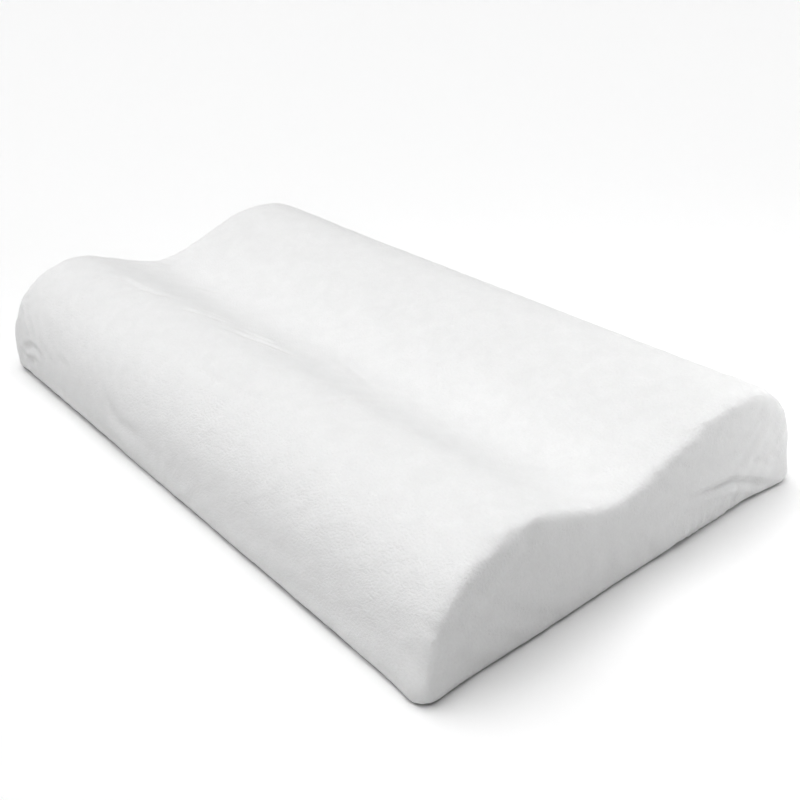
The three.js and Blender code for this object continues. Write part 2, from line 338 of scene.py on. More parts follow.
@dataclass(frozen=True)
class MouldedFoam:
    """Viscoelastic polyurethane foam, moulded: a cream closed skin with scattered fine pores."""

    colour: str = "F1E8CF"
    pore: float = 1.6 * MM

    def build(self) -> bpy.types.Material:
        """Build the material."""
        material, surface = start_material("viscoelastic_foam_moulded", Base_Color=linear(self.colour),
                                           Roughness=0.8)
        place = add_node(material, "ShaderNodeTexCoord").outputs["Object"]
        cells = add_node(material, "ShaderNodeTexVoronoi", {"Vector": place}, in_Scale=1 / self.pore)
        pits = add_node(material, "ShaderNodeMapRange", {"Value": cells.outputs["Distance"]},
                        in_From_Min=0.05, in_From_Max=0.35)
        bump = add_node(material, "ShaderNodeBump", {"Height": pits.outputs["Result"]}, in_Strength=0.6,
                        in_Distance=0.3 * MM)
        feed(surface, Normal=bump.outputs["Normal"])
        return material


@dataclass(frozen=True)
class WovenTape:
    """Woven polyester zip tape: a fine twill whose ribs run along the tape."""

    colour: str = "EFEFEC"
    rib: float = 0.8 * MM

    def build(self) -> bpy.types.Material:
        """Build the material."""
        material, surface = start_material("polyester_tape_twill", Base_Color=linear(self.colour),
                                           Roughness=0.75, Sheen_Weight=0.1)
        place = add_node(material, "ShaderNodeTexCoord").outputs["Object"]
        ribs = add_node(material, "ShaderNodeTexWave", {"Vector": place}, bands_direction="Z",
                        in_Scale=math.tau / (20 * self.rib), in_Distortion=0.4)
        picks = add_node(material, "ShaderNodeTexWave", {"Vector": place}, bands_direction="X",
                         in_Scale=math.tau / (20 * self.rib))
        both = add_node(material, "ShaderNodeMath", {0: ribs.outputs["Fac"], 1: picks.outputs["Fac"]},
                        operation="MULTIPLY")
        bump = add_node(material, "ShaderNodeBump", {"Height": both.outputs[0]}, in_Strength=0.7,
                        in_Distance=0.15 * MM)
        feed(surface, Normal=bump.outputs["Normal"])
        return material


@dataclass(frozen=True)
class Nylon:
    """Polyamide monofilament, drawn: off-white, with a soft gloss that varies along it."""

    colour: str = "F3F3F1"

    def build(self) -> bpy.types.Material:
        """Build the material."""
        material, surface = start_material("polyamide_monofilament", Base_Color=linear(self.colour),
                                           IOR=1.53)
        place = add_node(material, "ShaderNodeTexCoord").outputs["Object"]
        haze = add_node(material, "ShaderNodeTexNoise", {"Vector": place}, in_Scale=1 / (6 * MM))
        gloss = add_node(material, "ShaderNodeMapRange", {"Value": haze.outputs["Fac"]},
                         in_To_Min=0.3, in_To_Max=0.42)
        feed(surface, Roughness=gloss.outputs["Result"])
        return material


@dataclass(frozen=True)
class NickelPlate:
    """Cast zinc with bright nickel plate, tumbled: a warm grey metal with a faint orange peel."""

    colour: str = "C9C6BF"

    def build(self) -> bpy.types.Material:
        """Build the material."""
        material, surface = start_material("nickel_plated_zinc", Base_Color=linear(self.colour),
                                           Metallic=1.0)
        place = add_node(material, "ShaderNodeTexCoord").outputs["Object"]
        peel = add_node(material, "ShaderNodeTexNoise", {"Vector": place}, in_Scale=1 / (0.8 * MM),
                        in_Detail=2.0)
        wear = add_node(material, "ShaderNodeMapRange", {"Value": peel.outputs["Fac"]},
                        in_To_Min=0.2, in_To_Max=0.36)
        bump = add_node(material, "ShaderNodeBump", {"Height": peel.outputs["Fac"]}, in_Strength=0.05,
                        in_Distance=0.05 * MM)
        feed(surface, Roughness=wear.outputs["Result"], Normal=bump.outputs["Normal"])
        return material


@dataclass(frozen=True)
class SatinRibbon:
    """Woven satin ribbon: smooth floats along the strip, so light runs across it in a soft band."""

    colour: str = "FAFAFA"
    thread: float = 0.6 * MM

    def build(self) -> bpy.types.Material:
        """Build the material."""
        material, surface = start_material("polyester_satin_ribbon", Base_Color=linear(self.colour),
                                           Roughness=0.42, Sheen_Weight=0.2)
        place = add_node(material, "ShaderNodeTexCoord").outputs["Object"]
        floats = add_node(material, "ShaderNodeTexWave", {"Vector": place}, bands_direction="Y",
                          in_Scale=math.tau / (20 * self.thread), in_Distortion=0.5)
        bump = add_node(material, "ShaderNodeBump", {"Height": floats.outputs["Fac"]}, in_Strength=0.4,
                        in_Distance=0.08 * MM)
        feed(surface, Normal=bump.outputs["Normal"])
        return material


# ---- The pillow's form ----


@dataclass
class ContourForm:
    """The rounded contour block that the core, the liner and the cover all follow."""

    low_corner: Vector
    high_corner: Vector
    low_crest_height: float = 75 * MM
    valley_height: float = 55 * MM
    low_crest_setback: float = 67 * MM
    valley_setback: float = 139 * MM
    high_crest_setback: float = 64 * MM
    nose_height: float = 10 * MM
    rear_nose_height: float = 22 * MM
    foot_inset: float = 0.3 * MM
    rim_radius: float = 5 * MM
    foot_radius: float = 3 * MM
    rim_growth_height: float = 48 * MM
    curve_steps: int = 14
    relaxing: int = 4
    rim_segments: int = 5

    def bezier(self, start: Vector, leave: Vector, arrive: Vector, end: Vector) -> list[Vector]:
        """Sample one curve of the section, without its last point.

        Args:
            start: Where it starts.
            leave: The handle that it leaves by.
            arrive: The handle that it arrives by.
            end: Where it ends.

        Returns:
            Points along the curve.
        """
        points = []
        for index in range(self.curve_steps):
            t = index / self.curve_steps
            s = 1 - t
            points.append(s**3 * start + 3 * s * s * t * leave + 3 * s * t * t * arrive + t**3 * end)
        return points

    def section(self) -> list[Vector]:
        """The outline across the depth as (y, z) points, anticlockwise from the front foot."""
        front, rear = self.low_corner.y, self.high_corner.y
        top = self.high_corner.z
        low = Vector((front + self.low_crest_setback, self.low_crest_height))
        valley = Vector((front + self.valley_setback, self.valley_height))
        high = Vector((rear - self.high_crest_setback, top))
        nose = Vector((front, self.nose_height))
        rear_nose = Vector((rear, self.rear_nose_height))
        rise, fall = high.x - valley.x, valley.x - low.x
        along = Vector((1, 0))
        up = Vector((0, 1))
        points = [Vector((front + self.foot_inset, 0)), Vector((rear - self.foot_inset, 0)),
                  Vector((rear, self.nose_height))]
        points += self.bezier(rear_nose, rear_nose + 0.45 * (top - rear_nose.y) * up,
                              high + 0.64 * (rear - high.x) * along, high)
        points += self.bezier(high, high - 0.33 * rise * along, valley + 0.27 * rise * along, valley)
        points += self.bezier(valley, valley - 0.41 * fall * along, low + 0.31 * fall * along, low)
        points += self.bezier(low, low - 0.55 * (low.x - front) * along,
                              nose + 0.6 * (low.y - nose.y) * up, nose)
        points.append(nose)
        return points

    def length_around(self) -> float:
        """The length of the whole outline."""
        points = self.section()
        return sum((a - b).length for a, b in zip(points, points[1:] + points[:1]))

    def length_over_top(self) -> float:
        """The length of the outline from the front foot over both lobes to the rear foot."""
        return self.length_around() - (self.high_corner.y - self.low_corner.y)

    def section_area(self) -> float:
        """The area that the outline encloses."""
        points = self.section()
        return abs(sum(a.x * b.y - b.x * a.y for a, b in zip(points, points[1:] + points[:1]))) / 2

    def block(self, name: str, voxel: float, inset: float = 0.0) -> bpy.types.Object:
        """Extrude the section, round its rims, and remesh it evenly.

        Args:
            name: The object's name.
            voxel: Edge length of the even mesh.
            inset: How far the whole surface is moved inward.

        Returns:
            A closed object with no modifiers.
        """
        bm = bmesh.new()
        weight = bm.edges.layers.float.new("bevel_weight_edge")
        start = self.low_corner.x
        ring = [bm.verts.new((start, p.x, p.y)) for p in self.section()]
        cap = bm.faces.new(reversed(ring))
        length = self.high_corner.x - start
        grown = bmesh.ops.extrude_face_region(bm, geom=[cap], use_keep_orig=True)
        far = [v for v in grown["geom"] if isinstance(v, bmesh.types.BMVert)]
        bmesh.ops.translate(bm, verts=far, vec=(length, 0, 0))
        bmesh.ops.recalc_face_normals(bm, faces=bm.faces)
        for edge in bm.edges:
            a, b = (v.co for v in edge.verts)
            at_foot = a.z < MM / 10 and b.z < MM / 10
            on_rim = abs(a.x - b.x) < MM and (a - b).length > 0
            tight = self.foot_radius / self.rim_radius
            if on_rim:
                height = min(1.0, (a.z + b.z) / 2 / self.rim_growth_height)
                edge[weight] = tight if at_foot else tight + (1 - tight) * height
            elif at_foot:
                edge[weight] = tight
        exact = to_object(name + "_exact", bm)
        rounding = exact.modifiers.new("rounding", "BEVEL")
        rounding.limit_method = "WEIGHT"
        rounding.width = self.rim_radius
        rounding.segments = self.rim_segments
        rounding.use_clamp_overlap = False
        applied(exact)
        piece = linked(name, exact.data.copy())
        even = piece.modifiers.new("even", "REMESH")
        even.mode = "VOXEL"
        even.voxel_size = voxel
        applied(piece)
        for _ in range(self.relaxing):
            bm = bmesh.new()
            bm.from_mesh(piece.data)
            bmesh.ops.smooth_vert(bm, verts=bm.verts, factor=0.5, use_axis_x=True, use_axis_y=True,
                                  use_axis_z=True)
            bm.to_mesh(piece.data)
            bm.free()
            snap = piece.modifiers.new("snap", "SHRINKWRAP")
            snap.target = exact
            snap.wrap_method = "NEAREST_SURFACEPOINT"
            applied(piece)
        bpy.data.objects.remove(exact)
        if inset:
            points = coordinates(piece.data)
            put_coordinates(piece.data, points - inset * normals(piece.data))
        return piece


# ---- Cover ----


@dataclass(frozen=True)
class Crease:
    """A fold in the velour: a path near the surface, and the shape across it, all in millimetres.

    A positive depth presses a groove with two soft lips, and a negative one raises a ridge.
    """

    path: tuple[tuple[float, float, float], ...]
    width: float
    depth: float
    lip: float = 0.45
    spacing: float = 1.0

    def spine(self, tree: BVHTree) -> np.ndarray:
        """Sample the path and lay every sample on the surface.

        Args:
            tree: The skin's faces.

        Returns:
            An (n, 3) array of places along the fold, in metres.
        """
        nodes = np.array(self.path)
        lengths = np.linalg.norm(np.diff(nodes, axis=0), axis=1)
        marks = np.concatenate([[0], np.cumsum(lengths)])
        places = np.arange(0, marks[-1], self.spacing)
        samples = np.column_stack([np.interp(places, marks, nodes[:, axis]) for axis in range(3)]) * MM
        return np.array([tree.find_nearest(Vector(sample))[0] for sample in samples])

    def offsets(self, points: np.ndarray, tree: BVHTree) -> np.ndarray:
        """How far each point moves along its normal.

        Args:
            points: Vertex positions, in metres.
            tree: The skin's faces.

        Returns:
            One signed distance a point, in metres.
        """
        spine = self.spine(tree)
        width = self.width * MM
        reach = 5 * width
        near = np.all((points > spine.min(0) - reach) & (points < spine.max(0) + reach), axis=1)
        away = np.linalg.norm(points[near][:, None, :] - spine[None], axis=2)
        nearest = away.argmin(1)
        best = away[np.arange(len(away)), nearest]
        fade = np.sqrt(np.sin(math.pi * (nearest + 0.5) / len(spine)))
        groove = np.exp(-((best / width) ** 2))
        shoulder = np.exp(-(((best - 2 * width) / (1.1 * width)) ** 2))
        offset = np.zeros(len(points))
        offset[near] = self.depth * MM * fade * (self.lip * shoulder - groove)
        return offset


END_PUCKERS = tuple(Crease(((250, 46 + 7 * index, 5), (250, 49 + 7 * index, 12 + index)), 2.2, 1.0)
                    for index in range(7))

LOW_LOBE_FOLDS = (
    Crease(((-185, -80, 75), (-155, -80, 75), (-135, -75, 74), (-120, -65, 71)), 2.6, 0.9),
    Crease(((-100, -77, 75), (-83, -67, 72), (-65, -60, 70)), 2.4, 0.8),
    Crease(((-52, -70, 73), (-32, -65, 71), (-14, -57, 68), (8, -51, 65)), 2.6, 0.9),
    Crease(((-50, -59, 69), (-18, -49, 65)), 2.2, 0.8),
    Crease(((-105, -68, 72), (-70, -54, 67)), 2.2, 0.5),
    Crease(((5, -24, 56), (40, -26, 56), (76, -33, 58)), 3.4, 0.5),
    Crease(((35, -118, 66), (32, -105, 72), (37, -92, 74)), 2.6, 0.7),
    Crease(((83, -104, 72), (85, -87, 75), (90, -63, 71), (92, -32, 58)), 3.0, 0.8),
    Crease(((-197, -107, 71), (-196, -90, 75), (-178, -82, 75)), 2.6, 0.7),
    Crease(((-160, -100, 73), (-154, -86, 75), (-143, -67, 72)), 2.6, 0.6),
    Crease(((-165, -24, 56), (-150, -20, 56)), 2.2, 0.6),
    Crease(((-12, -111, 69), (22, -110, 70), (52, -107, 71)), 3.2, 0.4),
)

HIGH_LOBE_FOLDS = (
    Crease(((99, 8, 58), (112, 14, 59)), 2.4, 0.4),
    Crease(((126, 28, 65), (147, 20, 62)), 2.4, 0.4),
    Crease(((160, 30, 66), (175, 35, 67)), 2.4, 0.4),
    Crease(((-170, 149, 42), (-110, 149, 46)), 3.0, 0.5),
    Crease(((60, 149, 46), (130, 149, 42)), 3.0, 0.4),
)

FOOT_FOLDS = (
    Crease(((-230, -149, 23), (-215, -147, 29), (-205, -147, 29), (-195, -148, 26)), 2.4, 1.4),
    Crease(((-235, -150, 18), (-215, -150, 17), (-206, -149, 14)), 2.4, 1.3),
    Crease(((-226, -150, 13), (-212, -150, 20), (-199, -149, 20)), 2.2, 1.1),
    Crease(((-188, -147, 34), (-176, -149, 27)), 2.6, 0.8),
    Crease(((-165, -148, 36), (-150, -146, 33)), 2.8, 0.7),
    Crease(((-87, -146, 33), (-65, -149, 22), (-32, -148, 25)), 4.2, 1.0),
    Crease(((86, -150, 8), (148, -150, 18), (207, -147, 29)), 5.0, -0.35, 0.2),
    Crease(((90, -150, 4), (150, -150, 11), (215, -148, 20)), 3.6, 0.3),
    Crease(((-214, -150, 8), (-120, -150, 6), (-26, -150, 4)), 2.2, -0.7, 0.3),
    Crease(((-84, -149, 14), (-62, -149, 15)), 6.0, -1.2, 0.1),
)

END_FOLDS = (
    Crease(((250, 40, 31), (250, 61, 29), (250, 88, 24), (250, 126, 6)), 2.4, 2.1),
    Crease(((250, 24, 58), (250, 34, 57), (250, 41, 53)), 2.2, 0.7),
    Crease(((250, 104, 33), (250, 113, 26)), 2.2, 0.9),
    Crease(((250, 114, 27), (250, 125, 20)), 2.2, 0.9),
    Crease(((250, 122, 28), (250, 134, 22)), 2.2, 0.8),
    Crease(((250, 69, 58), (250, 86, 54), (250, 101, 48)), 2.6, 0.5),
    Crease(((250, -36, 45), (250, -28, 48), (250, -18, 48)), 2.4, 0.5),
    Crease(((250, 2, 47), (250, 14, 49), (250, 24, 47)), 2.4, 0.5),
    Crease(((-250, 30, 52), (-250, 66, 54), (-250, 70, 42)), 3.0, 0.7),
    Crease(((-250, -60, 48), (-250, -20, 44)), 3.0, 0.6),
)

SLACK_FOLDS = LOW_LOBE_FOLDS + HIGH_LOBE_FOLDS + FOOT_FOLDS + END_FOLDS + END_PUCKERS


def cut_into_panels(skin: bpy.types.Object, cuts: list[tuple], owner: Callable[[Vector], str],
                    wall: float) -> dict[str, bpy.types.Object]:
    """Cut a closed skin along planes and give every panel a cloth wall.

    Each panel keeps the closed skin's shading along its edges, so a blind seam shows no hard line.

    Args:
        skin: The closed skin, which is removed.
        cuts: A place and a facing for each cutting plane.
        owner: Names the panel that a face's centre lies on; an empty name leaves the face out.
        wall: The cloth's thickness, inward from the skin.

    Returns:
        The panels by name.
    """
    bm = bmesh.new()
    bm.from_mesh(skin.data)
    bm.normal_update()
    facing_of = bm.verts.layers.float_vector.new("skin_normal")
    for vert in bm.verts:
        vert[facing_of] = vert.normal
    for place, facing in cuts:
        bmesh.ops.bisect_plane(bm, geom=bm.verts[:] + bm.edges[:] + bm.faces[:], dist=0.6 * MM,
                               use_snap_center=True, plane_co=place, plane_no=facing)
    owners = [owner(face.calc_center_median()) for face in bm.faces]
    panels = {}
    for name in sorted(set(owners) - {""}):
        part = bm.copy()
        others = [face for face, given in zip(part.faces, owners) if given != name]
        bmesh.ops.delete(part, geom=others, context="FACES")
        piece = to_object(name, part)
        outer = len(piece.data.vertices)
        walled(piece, wall)
        facings = normals(piece.data)
        stored = piece.data.attributes["skin_normal"]
        facings[:outer] = read_vectors(stored.data, "vector")[:outer]
        piece.data.attributes.remove(stored)
        piece.data.normals_split_custom_set_from_vertices(facings.tolist())
        panels[name] = piece
    bm.free()
    bpy.data.objects.remove(skin)
    return panels


@dataclass
class Cover:
    """The velour cover: simulated over the core, then sculpted and cut into its four panels."""

    form: ContourForm
    finish: bpy.types.Material
    voxel: float = 4.6 * MM
    slack: float = 0.012
    travel: float = 5 * MM
    thickness: float = 1.2 * MM
    end_seam: float = 2.4 * MM
    front_seam: float = 2.5 * MM
    zip_low: float = 10 * MM
    zip_high: float = 22 * MM
    zip_half_opening: float = 220 * MM
    frames: int = 24
    unevenness: float = 0.22
    far_lift_low: float = 3.2
    far_lift_high: float = 1.6
    far_tuck: float = 1.2
    foot_spread: float = 3.4
    rear_flare: float = 4.6
    corner_spread: tuple[float, float] = (1.6, -1.4)
    folds: tuple[Crease, ...] = SLACK_FOLDS

    def zip_land(self, points: np.ndarray) -> np.ndarray:
        """1 on the stiff strip around the zip, which the sewn tape holds flat, fading to 0."""
        x, y, z = (points / MM).T
        return step(y, 142, 148) * (1 - step(z, 25, 38)) * (1 - step(np.abs(x), 223, 236))

    def simulate(self, skin: bpy.types.Object) -> None:
        """Let the cloth, cut a little larger than the core, settle over it under its own weight.

        Args:
            skin: The even mesh of the cover, changed in place.
        """
        rest = coordinates(skin.data)
        core = self.form.block("core_collider", 8 * MM, inset=1.2 * MM)
        core.modifiers.new("collision", "COLLISION")
        core.collision.thickness_outer = 1.0 * MM
        core.collision.cloth_friction = 12.0
        pinned = skin.vertex_groups.new(name="held")
        held = (rest[:, 2] < 1.5 * MM) | (self.zip_land(rest) > 0.2)
        pinned.add([int(i) for i in np.nonzero(held)[0]], 1.0, "REPLACE")
        cloth = skin.modifiers.new("cloth", "CLOTH")
        velour = {"quality": 6, "mass": 0.2, "tension_stiffness": 25, "compression_stiffness": 25,
                  "shear_stiffness": 10, "bending_stiffness": 0.6, "air_damping": 2,
                  "shrink_min": -self.slack, "vertex_group_mass": pinned.name}
        for setting, value in velour.items():
            setattr(cloth.settings, setting, value)
        cloth.collision_settings.distance_min = 1.0 * MM
        cloth.collision_settings.collision_quality = 2
        cloth.point_cache.frame_start = 1
        cloth.point_cache.frame_end = self.frames
        scene = bpy.context.scene
        for frame in range(1, self.frames + 1):
            scene.frame_set(frame)
        graph = bpy.context.evaluated_depsgraph_get()
        settled = coordinates(skin.evaluated_get(graph).data)
        skin.modifiers.remove(cloth)
        skin.vertex_groups.clear()
        bpy.data.objects.remove(core)
        scene.frame_set(1)
        move = settled - rest
        reach = np.linalg.norm(move, axis=1)
        LOG.info("cloth moved %.1f mm at most, %.2f mm on average", reach.max() / MM, reach.mean() / MM)
        cap = self.travel * np.tanh(reach / self.travel) / np.maximum(reach, 1e-9)
        put_coordinates(skin.data, rest + move * cap[:, None])

    def refine(self, skin: bpy.types.Object) -> None:
        """Subdivide the skin once, so that it can hold the small folds."""
        smoother = skin.modifiers.new("finer", "SUBSURF")
        smoother.levels = 1
        smoother.render_levels = 1
        applied(skin)

    def shape_slack(self, skin: bpy.types.Object) -> None:
        """Fill the far end, spread the front foot and let the rear corner's spare cloth stand out.

        The amounts and the places are in millimetres.

        Args:
            skin: The cover's skin, changed in place.
        """
        points = coordinates(skin.data)
        x, y, z = (points / MM).T
        move = np.zeros((len(points), 3))
        far_end = step(-x, 110, 245) * step(z, 20, 55)
        move[:, 2] += far_end * (self.far_lift_low * step(-y, 60, 108)
                                 + self.far_lift_high * step(y, 20, 80))
        move[:, 0] -= self.far_tuck * step(-x, 225, 248) * step(z, 10, 40)
        foot = 1 - step(z, 3, 26)
        move[:, 1] -= self.foot_spread * step(x, -150, 235) * foot * step(-y, 120, 148)
        move[:, 0] += self.rear_flare * step(y, 100, 148) * step(x, 215, 250) * (1 - step(z, 0, 26))
        near_corner = step(x, 222, 250) * step(-y, 122, 150) * foot
        move[:, :2] += near_corner[:, None] * self.corner_spread
        move *= (1 - self.zip_land(points))[:, None]
        put_coordinates(skin.data, points + move * MM)

    def press_folds(self, skin: bpy.types.Object) -> None:
        """Press in the folds, and the slight unevenness of cloth over foam."""
        points = coordinates(skin.data)
        outward = normals(skin.data)
        tree = surface_tree(skin)
        move = np.zeros(len(points))
        for fold in self.folds:
            move += fold.offsets(points, tree)
        ripple = np.array([noise.noise(Vector(p) / (55 * MM)) + 0.5 * noise.noise(Vector(p) / (19 * MM))
                           for p in points])
        move += self.unevenness * MM * ripple * step(points[:, 2] / MM, 3, 16)
        move *= 1 - self.zip_land(points)
        put_coordinates(skin.data, points + move[:, None] * outward)

    def owner(self, centre: Vector) -> str:
        """Name the panel that a face's centre lies on, or nothing over the zip's slot."""
        end = self.form.high_corner.x - self.end_seam
        if abs(centre.x) > end:
            return "velour_right_end_panel" if centre.x > 0 else "velour_left_end_panel"
        behind = centre.y > 0
        if centre.z < (self.zip_low if behind else self.front_seam):
            return "velour_bottom_panel"
        if behind and centre.z < self.zip_high and abs(centre.x) < self.zip_half_opening:
            return ""
        return "velour_top_panel"

    def declare(self) -> None:
        """Work out the cut sizes of the panels; the results are neither kept nor reported."""
        over = (self.form.length_over_top() - self.front_seam - self.zip_high
                + self.form.rear_nose_height)
        for name in ("velour_left_end_panel", "velour_right_end_panel"):
            self.form.section_area() + self.end_seam * self.form.length_around()

    def build(self) -> BVHTree:
        """Make the cover's panels.

        Returns:
            The finished skin's faces, for what is sewn on it.
        """
        skin = self.form.block("skin", self.voxel)
        LOG.info("skin: %d vertices", len(skin.data.vertices))
        self.simulate(skin)
        self.refine(skin)
        self.shape_slack(skin)
        self.press_folds(skin)
        tree = surface_tree(skin)
        end = self.form.high_corner.x - self.end_seam
        lengthwise, upward = (1, 0, 0), (0, 0, 1)
        cuts = [((place, 0, 0), lengthwise) for place in (end, -end, self.zip_half_opening,
                                                         -self.zip_half_opening)]
        cuts += [((0, 0, place), upward) for place in (self.front_seam, self.zip_low, self.zip_high)]
        panels = cut_into_panels(skin, cuts, self.owner, self.thickness)
        for name, panel in panels.items():
            finish_piece(panel, self.finish, Slot.VELOUR, name.replace("velour_", "cover_"))
        self.declare()
        return tree


# ---- Filling ----


@dataclass
class Filling:
    """The moulded foam core, and the jersey liner that is sewn shut around it."""

    form: ContourForm
    voxel: float = 8 * MM
    liner_inset: float = 4.4 * MM
    liner_wall: float = 0.6 * MM
    liner_seam: float = 34 * MM
    core_inset: float = 5.6 * MM

    def build_liner(self) -> None:
        """Make the liner's two halves, which meet at one seam round the side."""
        skin = self.form.block("liner_skin", self.voxel, inset=self.liner_inset)
        halves = cut_into_panels(
            skin, [((0, 0, self.liner_seam), (0, 0, 1))],
            lambda centre: "jersey_liner_" + ("upper" if centre.z > self.liner_seam else "lower"),
            self.liner_wall)
        length = self.form.high_corner.x - self.form.low_corner.x
        depth = self.form.high_corner.y - self.form.low_corner.y
        over = self.form.length_over_top()
        rise = self.form.high_corner.z - self.liner_seam
        spans = {"upper": (length + 2 * rise, over - 2 * self.liner_seam + self.form.rear_nose_height),
                 "lower": (length + 2 * self.liner_seam, depth + 2 * self.liner_seam)}
        jersey = KnitCloth().build()
        for side, flat in spans.items():
            half = finish_piece(halves["jersey_liner_" + side], jersey, Slot.JERSEY, "liner_" + side)

    def build_core(self) -> None:
        """Make the foam core."""
        core = self.form.block("moulded_foam_core", self.voxel, inset=self.core_inset)
        finish_piece(core, MouldedFoam().build(), Slot.FOAM, "foam_core")

    def build(self) -> None:
        """Make the core and its liner."""
        self.build_core()
        self.build_liner()


# ---- Zip ----


def refined_copy(source: bpy.types.Object, name: str, bevel: float) -> bpy.types.Object:
    """Copy a hard CAD piece and break its edges.

    Args:
        source: The CAD node's object.
        name: The copy's name.
        bevel: How wide each broken edge is.

    Returns:
        The new piece.
    """
    bm = bmesh.new()
    bm.from_mesh(source.data)
    bmesh.ops.remove_doubles(bm, verts=bm.verts, dist=1e-6)
    bmesh.ops.dissolve_limit(bm, angle_limit=math.radians(1), verts=bm.verts, edges=bm.edges)
    sharp = [e for e in bm.edges if e.is_manifold and e.calc_face_angle(0) > math.radians(40)]
    bmesh.ops.bevel(bm, geom=sharp, offset=bevel, segments=2, profile=0.5, affect="EDGES", material=-1,
                    clamp_overlap=True)
    piece = to_object(name, bm)
    piece.data.set_sharp_from_angle(angle=math.radians(35))
    return piece


@dataclass
class Zip:
    """The coil zip along the rear side: woven tapes, two helical coils, stops, end tabs and slider."""

    nodes: dict
    weave: bpy.types.Material
    nylon: bpy.types.Material
    nickel: bpy.types.Material
    pitch: float = 1.3 * MM
    steps_a_turn: int = 10
    turn_radius: float = 1 * MM
    wire_radius: float = 0.28 * MM
    head_clearance: float = 0.35 * MM
    tape_ripple: float = 0.08 * MM
    edge_break: float = 0.18 * MM

    def tape(self, side: str) -> None:
        """Weave one tape: a thin strip with a slight ripple, which the cover is stitched to.

        Args:
            side: "upper" or "lower".
        """
        low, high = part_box("zip_tape_" + side)
        middle = (low + high) / 2
        bm = bmesh.new()
        bmesh.ops.create_grid(bm, x_segments=220, y_segments=6, size=0.5)
        bmesh.ops.scale(bm, verts=bm.verts, vec=(high.x - low.x, high.z - low.z, 1))
        bmesh.ops.rotate(bm, verts=bm.verts, matrix=Matrix.Rotation(math.pi / 2, 3, "X"))
        bmesh.ops.translate(bm, verts=bm.verts, vec=(middle.x, high.y, middle.z))
        for vert in bm.verts:
            vert.co.y -= self.tape_ripple * (1 + noise.noise(vert.co / (9 * MM)))
        bmesh.ops.recalc_face_normals(bm, faces=bm.faces)
        piece = walled(to_object("woven_zip_tape_" + side, bm), high.y - low.y - 2 * self.tape_ripple)
        finish_piece(piece, self.weave, Slot.TAPE, "zip_tape_" + side)

    def coil(self, side: str, parting: float) -> None:
        """Wind one coil, whose heads reach to the parting line.

        Args:
            side: "upper" or "lower".
            parting: The height of the line where the two coils meet.
        """
        low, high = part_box("zip_coil_" + side)
        above = side == "upper"
        head = parting + self.head_clearance if above else parting - self.head_clearance
        heel = high.z if above else low.z
        middle = Vector((0, (low.y + high.y) / 2, (head + heel) / 2))
        round_radius = self.turn_radius - self.wire_radius
        turns = int((high.x - low.x - self.pitch) / self.pitch)
        start = low.x + self.wire_radius + (0 if above else self.pitch / 2)
        bm = bmesh.new()
        place = Matrix.Translation((start, middle.y, middle.z + round_radius))
        ring = bmesh.ops.create_circle(bm, segments=6, radius=self.wire_radius,
                                       matrix=place @ Matrix.Rotation(math.pi / 2, 4, "X"))
        bmesh.ops.spin(bm, geom=ring["verts"] + bm.edges[:], cent=(start, middle.y, middle.z),
                       axis=(1, 0, 0), dvec=(self.pitch / self.steps_a_turn, 0, 0), angle=math.tau,
                       steps=self.steps_a_turn)
        bmesh.ops.scale(bm, verts=bm.verts, space=Matrix.Translation(-middle),
                        vec=(1, (high.y - low.y) / 2 / self.turn_radius,
                             abs(heel - head) / 2 / self.turn_radius))
        bmesh.ops.recalc_face_normals(bm, faces=bm.faces)
        piece = to_object("wound_zip_coil_" + side, bm)
        winding = piece.modifiers.new("winding", "ARRAY")
        winding.count = turns
        winding.use_relative_offset = False
        winding.use_constant_offset = True
        winding.constant_offset_displace = (self.pitch, 0, 0)
        winding.use_merge_vertices = True
        winding.merge_threshold = MM / 50
        applied(piece)
        bm = bmesh.new()
        bm.from_mesh(piece.data)
        bmesh.ops.holes_fill(bm, edges=[edge for edge in bm.edges if edge.is_boundary], sides=6)
        bmesh.ops.recalc_face_normals(bm, faces=bm.faces)
        bm.to_mesh(piece.data)
        bm.free()
        finish_piece(piece, self.nylon, Slot.NYLON, "zip_coil_" + side)

    def hardware(self) -> None:
        """Break the edges of the stops, end tabs, slider and pull tab."""
        plated = {"zip_top_stop_upper": BODY, "zip_top_stop_lower": BODY, "zip_bottom_stop": BODY,
                  "zip_slider_body": "slider", "zip_pull_tab": "pull_tab"}
        for node, body in plated.items():
            piece = refined_copy(self.nodes[node], node.replace("zip_", "plated_"), self.edge_break)
            finish_piece(piece, self.nickel, Slot.NICKEL, node, body=body)
        for node in ("zip_garage_left", "zip_garage_right"):
            name = node.replace("zip_garage", "zip_end_tab")
            piece = refined_copy(self.nodes[node], name, self.edge_break)
            finish_piece(piece, self.weave, Slot.TAPE, node)

    def build(self) -> None:
        """Make the whole zip."""
        parting = (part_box("zip_tape_upper")[0].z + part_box("zip_tape_lower")[1].z) / 2
        for side in ("upper", "lower"):
            self.tape(side)
            self.coil(side, parting)
        self.hardware()


# ---- What is sewn on the cover ----


